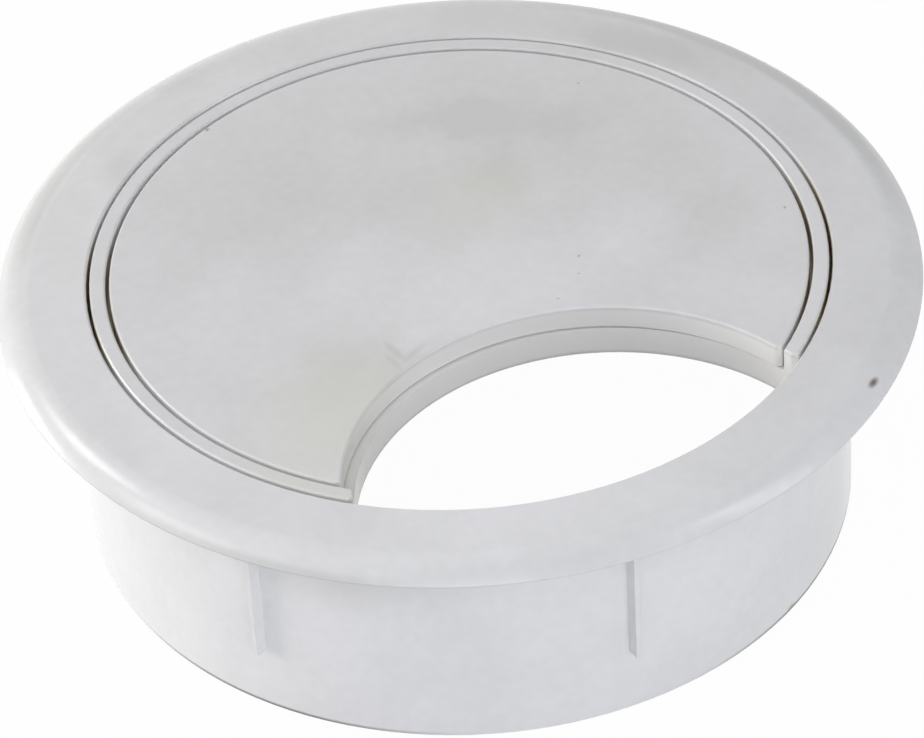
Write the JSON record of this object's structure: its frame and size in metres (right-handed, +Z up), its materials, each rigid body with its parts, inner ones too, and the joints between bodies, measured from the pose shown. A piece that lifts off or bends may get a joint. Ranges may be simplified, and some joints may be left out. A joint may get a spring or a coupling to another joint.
{
  "type": "desk cable grommet",
  "caption": "Round desk cable grommet: a flanged sleeve with crush ribs holds a notched cover base, and a flush notched disc turns on it to open or close the cable opening.",
  "frame": {"origin": "on the axis of the desk hole, at the desk surface, which is the underside of the flange", "axes": "+Z up out of the desk, -Y towards the middle of the cable notch, +X to the right of someone who faces the notch"},
  "size_m": [0.07, 0.07, 0.0216],
  "materials": {
    "sleeve_plastic": "satin white moulded plastic",
    "cover_plastic": "satin white moulded plastic",
    "shutter_plastic": "satin white moulded plastic with faint grey smudges"
  },
  "bodies": {
    "housing": {"flanged_sleeve": "sleeve_plastic", "cover_base": "cover_plastic"},
    "shutter": {"rotating_shutter": "shutter_plastic"}
  },
  "joints": [
    {"name": "shutter_turn", "type": "hinge", "parent": "housing", "child": "shutter", "pos_m": [0, 0, 0], "axis": [0, 0, 1], "continuous": true}
  ]
}
